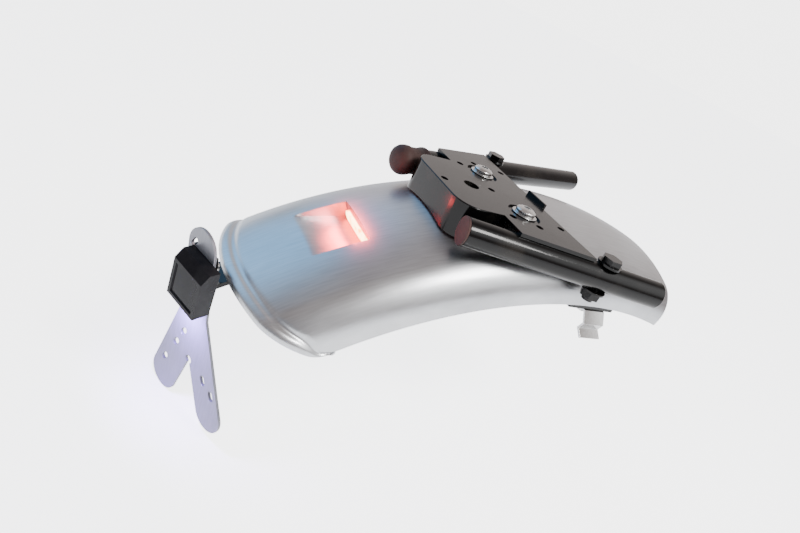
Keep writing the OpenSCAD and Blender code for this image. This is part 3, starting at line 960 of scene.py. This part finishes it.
@dataclass
class PlateHolder(SubAssembly):
    """The bent arm, the lobed holder and the hooded plate light.

    The hood's sizes are in millimetres, the glow's in metres and degrees.
    """

    title: str = "plate holder"
    hood_rim: float = 2.6
    hood_step: float = 0.5
    hood_press: float = 0.9
    glow_size: float = 0.014
    glow_power: float = 0.2
    glow_spread: float = 130.0
    glow_colour: Colour = (0.42, 0.3, 1.0)
    glow_aim: Point = (0.75, 0.35, -0.85)
    glow_shift: Point = (-0.010, -0.004, -0.008)

    def press_face(self, piece: bpy.types.Object, rim: float, depth: float) -> None:
        """Presses the largest flat of a piece in, inside a standing rim, and rounds its edges.

        Args:
            piece: the piece.
            rim: the rim's width in millimetres.
            depth: how far the flat goes in.
        """
        Bench.pick(piece, lambda place: False)
        bpy.ops.object.mode_set(mode="EDIT")
        bpy.ops.mesh.select_mode(type="FACE")
        bpy.ops.mesh.select_all(action="SELECT")
        bpy.ops.mesh.dissolve_limited(angle_limit=math.radians(0.5))
        bpy.ops.mesh.select_all(action="DESELECT")
        bpy.ops.object.mode_set(mode="OBJECT")
        faces = [face for face in piece.data.polygons if face.normal.x < -0.5]
        max(faces, key=lambda face: face.area).select = True
        bpy.ops.object.mode_set(mode="EDIT")
        bpy.ops.mesh.inset(thickness=rim * MM, depth=0.0)
        bpy.ops.mesh.inset(thickness=self.hood_step * MM, depth=-depth * MM)
        bpy.ops.object.mode_set(mode="OBJECT")
        Bench.bevelled(piece, 0.5 * MM, segments=3, angle=32.0)
        Bench.smooth(piece)

    def throw(self, lens: bpy.types.Object) -> None:
        """Adds the light that the lens throws on the holder.

        Args:
            lens: the plate light's lens.
        """
        corners = [vertex.co for vertex in lens.data.vertices]
        middle = sum(corners, Vector()) / len(corners)
        data = bpy.data.lights.new("plate glow", "AREA")
        data.size = self.glow_size
        data.energy = self.glow_power
        data.spread = math.radians(self.glow_spread)
        data.color = self.glow_colour
        glow = bpy.data.objects.new("plate glow", data)
        bpy.context.scene.collection.objects.link(glow)
        turn = Vector(self.glow_aim).to_track_quat("-Z", "Y").to_matrix().to_4x4()
        glow.matrix_world = Matrix.Translation(middle + Vector(self.glow_shift)) @ turn

    def build(self) -> None:
        """Builds the holder's pieces."""
        plated = PLATED_STEEL.build()
        self.solid("plate_arm", FRAME_PAINT.build(), 0.4, "black_paint")
        self.solid("arm_bolts", plated, 0.3, "zinc_steel")
        self.solid("arm_nuts", plated, 0.2, "zinc_steel")
        self.solid("plate_holder", HOLDER_SHEET.build(), 0.3, "holder_sheet")
        self.solid("holder_screws", plated, 0.2, "zinc_steel")
        self.solid("holder_nuts", plated, 0.2, "zinc_steel")
        hood = self.solid("plate_light_housing", LAMP_PLASTIC.build(), 0.0, "lamp_plastic")
        self.press_face(hood, self.hood_rim, self.hood_press)
        self.solid("plate_light_board", BOARD.build(), 0.0, "board_laminate")
        lens = self.solid("plate_light_lens", LAMP_LENS.build(), 0.2, "lamp_lens")
        self.throw(lens)
        self.report()


@dataclass
class FrameTubes(SubAssembly):
    """The two tubes, their end plugs and the pressed cross plate.

    Lengths are in millimetres and the splay in degrees. The plug's profile lists places along
    the tube, from its end, and radii.
    """

    title: str = "frame tubes"
    tube_back: float = 56.0
    tube_spacing: float = 96.5
    tube_splay: float = 15.7
    tube_z: float = -12.0
    tube_r: float = 9.5
    tongue_back: float = 57.0
    tongue_w: float = 78.0
    tongue_r: float = 16.0
    fold: float = 3.1
    fold_reach: float = 31.0
    fold_slack: float = 0.2
    corner_slack: float = 0.3
    top_slack: float = 0.02
    plug_profile: tuple[tuple[float, float], ...] = (
        (-7.9, 0.0), (-7.9, 3.0), (-7.5, 6.0), (-6.5, 8.3), (-4.9, 9.9), (-2.8, 10.8), (-0.5, 11.0),
        (1.8, 10.8), (3.8, 10.3), (5.6, 9.95), (9.0, 9.85), (14.0, 9.9), (16.0, 10.3), (17.2, 10.8),
        (18.6, 10.95), (19.8, 10.6), (20.3, 9.9), (20.3, 9.3))

    def rubber_plug(self) -> None:
        """Turns the plug: its bulb, neck and the lip that grips the tube."""
        place = Matrix.Translation(Vector((-self.tube_back, self.tube_spacing / 2, self.tube_z)) * MM)
        turn = place @ Matrix.Rotation(math.radians(self.tube_splay), 4, "Z")
        plug = Bench.turned("left_plug_turned", self.plug_profile, turn)
        Bench.smooth(plug, angle=50.0)
        Bench.paint(plug, PLUG_RUBBER_WITH_PAINTED_RED_REFLECTION.build())
        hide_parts("left_plug")
        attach(plug, "root")
        self.built.append(plug.name)

    def on_fold(self, place: Vector) -> bool:
        """Whether a corner lies on the outer line of the tongue's top.

        Args:
            place: the corner.

        Returns:
            True on that line.
        """
        x, y, z = place / MM
        half = self.tongue_w / 2
        if z < -self.top_slack or x > -self.tongue_back + self.fold_reach:
            return False
        corner_x = -self.tongue_back + self.tongue_r
        corner_y = half - self.tongue_r
        away = math.hypot(x - corner_x, abs(y) - corner_y)
        on_side = abs(y) > half - self.fold_slack
        on_end = x < -self.tongue_back + self.fold_slack
        on_corner = x < corner_x and abs(y) > corner_y and away > self.tongue_r - self.corner_slack
        return on_side or on_end or on_corner

    def pressed_plate(self, paint: bpy.types.Material) -> None:
        """Dresses the cross plate, with a wide round where the tongue folds down.

        Args:
            paint: its finish.
        """
        plate = Bench.merged("cross_plate", "cross_plate_pressed", 0.05)
        Bench.pick(plate, self.on_fold)
        bpy.ops.object.mode_set(mode="EDIT")
        bpy.ops.mesh.select_mode(type="EDGE")
        bpy.ops.mesh.bevel(offset=self.fold * MM, segments=8, affect="EDGES", clamp_overlap=True)
        bpy.ops.object.mode_set(mode="OBJECT")
        Bench.bevelled(plate, 0.5 * MM)
        Bench.smooth(plate)
        Bench.paint(plate, paint)
        self.built.append(plate.name)

    def build(self) -> None:
        """Builds the frame's pieces."""
        paint = FRAME_PAINT.build()
        plated = PLATED_STEEL.build()
        self.solid("right_tube", paint, 0.3, "black_paint")
        self.solid("left_tube", paint, 0.3, "black_paint")
        self.solid("right_plug", PLUG_RUBBER_WITH_PAINTED_RED_REFLECTION.build(), 0.4, "black_paint")
        self.rubber_plug()
        self.pressed_plate(paint)
        self.solid("fender_bolts", plated, 0.3, "zinc_steel")
        self.solid("fender_washers", plated, 0.2, "zinc_steel")
        self.solid("fender_dampers", SOFT_RUBBER.build(), 0.3, "gasket_rubber")
        self.solid("fender_nuts", plated, 0.2, "zinc_steel")
        self.solid("tube_bolts", paint, 0.3, "zinc_steel")
        self.solid("tube_nuts", paint, 0.3, "zinc_steel")
        self.report()


@dataclass
class SideStrap(SubAssembly):
    """The bent strap and its black angle under the right skirt."""

    title: str = "side strap"
    widening: float = 1.5

    def widen(self, piece: bpy.types.Object, factor: float) -> None:
        """Widens a piece forward from its rear edge.

        Args:
            piece: the piece.
            factor: its new width over its old.
        """
        rear = min(vertex.co.x for vertex in piece.data.vertices)
        Bench.pick(piece, lambda place: True)
        bpy.ops.object.mode_set(mode="EDIT")
        bpy.ops.transform.resize(value=(factor, 1.0, 1.0), center_override=(rear, 0.0, 0.0))
        bpy.ops.object.mode_set(mode="OBJECT")

    def build(self) -> None:
        """Builds the strap's pieces."""
        plated = PLATED_STEEL.build()
        self.solid("under_bracket", FRAME_PAINT.build(), 0.3, "black_paint")
        strap = self.solid("side_strap", STRAP_STEEL.build(), 0.2, "strap_steel")
        self.widen(strap, self.widening)
        self.solid("strap_bolt", plated, 0.2, "zinc_steel")
        self.solid("strap_nut", plated, 0.2, "zinc_steel")
        self.report()


@dataclass(frozen=True)
class Patch:
    """One soft patch of the surround: direction, colour, and inner and outer angle in degrees."""

    toward: Point
    colour: Colour
    inner: float
    outer: float


@dataclass
class Studio:
    """The floor, the surround, one soft light and the camera. Angles are in degrees."""

    ceiling: Colour = (0.25, 0.215, 0.205)
    patches: tuple[Patch, ...] = (
        Patch((0.0, 0.0, -1.0), (0.95, 0.95, 0.95), 60.0, 95.0),
        Patch((0.6, 0.7, 0.35), (0.56, 0.51, 0.49), 15.0, 50.0),
        Patch((-0.42, 0.75, 0.5), (0.36, 0.7, 1.12), 16.0, 38.0),
        Patch((0.4, -0.6, 0.62), (1.5, 1.5, 1.5), 8.0, 36.0),
        Patch((-0.75, -0.6, 0.1), (0.2, 0.2, 0.22), 15.0, 45.0),
    )
    seen_white: Colour = (2.4, 2.4, 2.4)
    strength: float = 1.8
    floor_size: float = 60.0
    floor_glow: tuple[float, float] = (1.3, 3.4)
    azimuth: float = -36.49
    elevation: float = 25.85
    roll: float = 26.19
    focal_px: float = 600.0
    frame_w_px: int = 800
    sensor_mm: float = 36.0
    place_mm: Point = (-280.56, -309.25, 113.83)

    def axes(self) -> tuple[Vector, Vector, Vector]:
        """The camera's directions.

        Returns:
            Its right, up and back.
        """
        az = math.radians(self.azimuth)
        el = math.radians(self.elevation)
        roll = math.radians(self.roll)
        back = Vector((math.sin(az) * math.cos(el), -math.cos(az) * math.cos(el), math.sin(el)))
        right = Vector((math.cos(az), math.sin(az), 0.0))
        up = back.cross(right)
        turned_right = math.cos(roll) * right + math.sin(roll) * up
        turned_up = -math.sin(roll) * right + math.cos(roll) * up
        return turned_right, turned_up, back

    def camera(self) -> None:
        """Places the camera at the photograph's angle."""
        data = bpy.data.cameras.new("photo camera")
        data.sensor_width = self.sensor_mm
        data.lens = self.focal_px / self.frame_w_px * data.sensor_width
        data.clip_start = 0.01
        obj = bpy.data.objects.new("photo camera", data)
        bpy.context.scene.collection.objects.link(obj)
        turn = Matrix(self.axes()).transposed().to_4x4()
        obj.matrix_world = Matrix.Translation(Vector(self.place_mm) * MM) @ turn
        bpy.context.scene.camera = obj

    def floor(self) -> None:
        """Lays a wide pale floor at the lowest point, brighter to the camera than to other rays."""
        Bench.clear()
        bpy.ops.mesh.primitive_plane_add(size=self.floor_size, location=(0.0, 0.0, CAD_BOX[0][2]))
        plane = bpy.context.active_object
        plane.name = "floor"
        nodes = NodeBuilder("floor paper")
        nodes.set(Base_Color=(0.9, 0.9, 0.9), Roughness=0.9, Emission_Color=(1.0, 1.0, 1.0))
        rays = nodes.tree.nodes.new("ShaderNodeLightPath")
        nodes.feed(nodes.spread(rays.outputs["Is Camera Ray"], *self.floor_glow), "Emission Strength")
        Bench.paint(plane, nodes.material)

    def area(self, name: str, place: Point, aim: Point, size: float, power: float, colour: Colour) -> None:
        """Adds one soft area light.

        Args:
            name: the light's name.
            place: where it stands, in metres.
            aim: the point it faces.
            size: its width in metres.
            power: its watts.
            colour: its colour.
        """
        data = bpy.data.lights.new(name, "AREA")
        data.size = size
        data.energy = power
        data.color = colour
        obj = bpy.data.objects.new(name, data)
        bpy.context.scene.collection.objects.link(obj)
        direction = Vector(aim) - Vector(place)
        obj.matrix_world = Matrix.Translation(place) @ direction.to_track_quat("-Z", "Y").to_matrix().to_4x4()

    def world(self) -> None:
        """Sets the surround: a dim warm ceiling with the soft patches over it, and white to the camera."""
        world = bpy.data.worlds.new("studio")
        world.use_nodes = True
        tree = world.node_tree
        background = tree.nodes["Background"]
        place = tree.nodes.new("ShaderNodeTexCoord")
        colour = None
        for patch in self.patches:
            dot = tree.nodes.new("ShaderNodeVectorMath")
            dot.operation = "DOT_PRODUCT"
            dot.inputs[1].default_value = Vector(patch.toward).normalized()
            tree.links.new(place.outputs["Generated"], dot.inputs[0])
            fade = tree.nodes.new("ShaderNodeMapRange")
            fade.interpolation_type = "SMOOTHSTEP"
            fade.inputs["From Min"].default_value = math.cos(math.radians(patch.outer))
            fade.inputs["From Max"].default_value = math.cos(math.radians(patch.inner))
            tree.links.new(dot.outputs["Value"], fade.inputs["Value"])
            mix = tree.nodes.new("ShaderNodeMix")
            mix.data_type = "RGBA"
            tree.links.new(fade.outputs["Result"], mix.inputs["Factor"])
            mix.inputs["A"].default_value = (*self.ceiling, 1.0)
            if colour is not None:
                tree.links.new(colour, mix.inputs["A"])
            mix.inputs["B"].default_value = (*patch.colour, 1.0)
            colour = mix.outputs["Result"]
        rays = tree.nodes.new("ShaderNodeLightPath")
        seen = tree.nodes.new("ShaderNodeMix")
        seen.data_type = "RGBA"
        tree.links.new(rays.outputs["Is Camera Ray"], seen.inputs["Factor"])
        tree.links.new(colour, seen.inputs["A"])
        seen.inputs["B"].default_value = (*self.seen_white, 1.0)
        tree.links.new(seen.outputs["Result"], background.inputs["Color"])
        background.inputs["Strength"].default_value = self.strength
        bpy.context.scene.world = world

    def build(self) -> None:
        """Sets the whole studio up."""
        self.world()
        self.floor()
        self.area("key", place=(0.25, -0.75, 0.95), aim=(0.02, -0.05, -0.03), size=0.35, power=14.0,
                  colour=(1.0, 0.98, 0.96))
        self.camera()
        LOG.info("studio: floor, one soft light, the surround and the camera")


def main() -> None:
    """Builds the pieces in order and sets the studio."""
    logging.basicConfig(level=logging.INFO, format="%(name)s: %(message)s")
    FenderShell().build()
    TailLight().build()
    PlateHolder().build()
    FrameTubes().build()
    SideStrap().build()
    Studio().build()


if __name__ == "__main__":
    main()
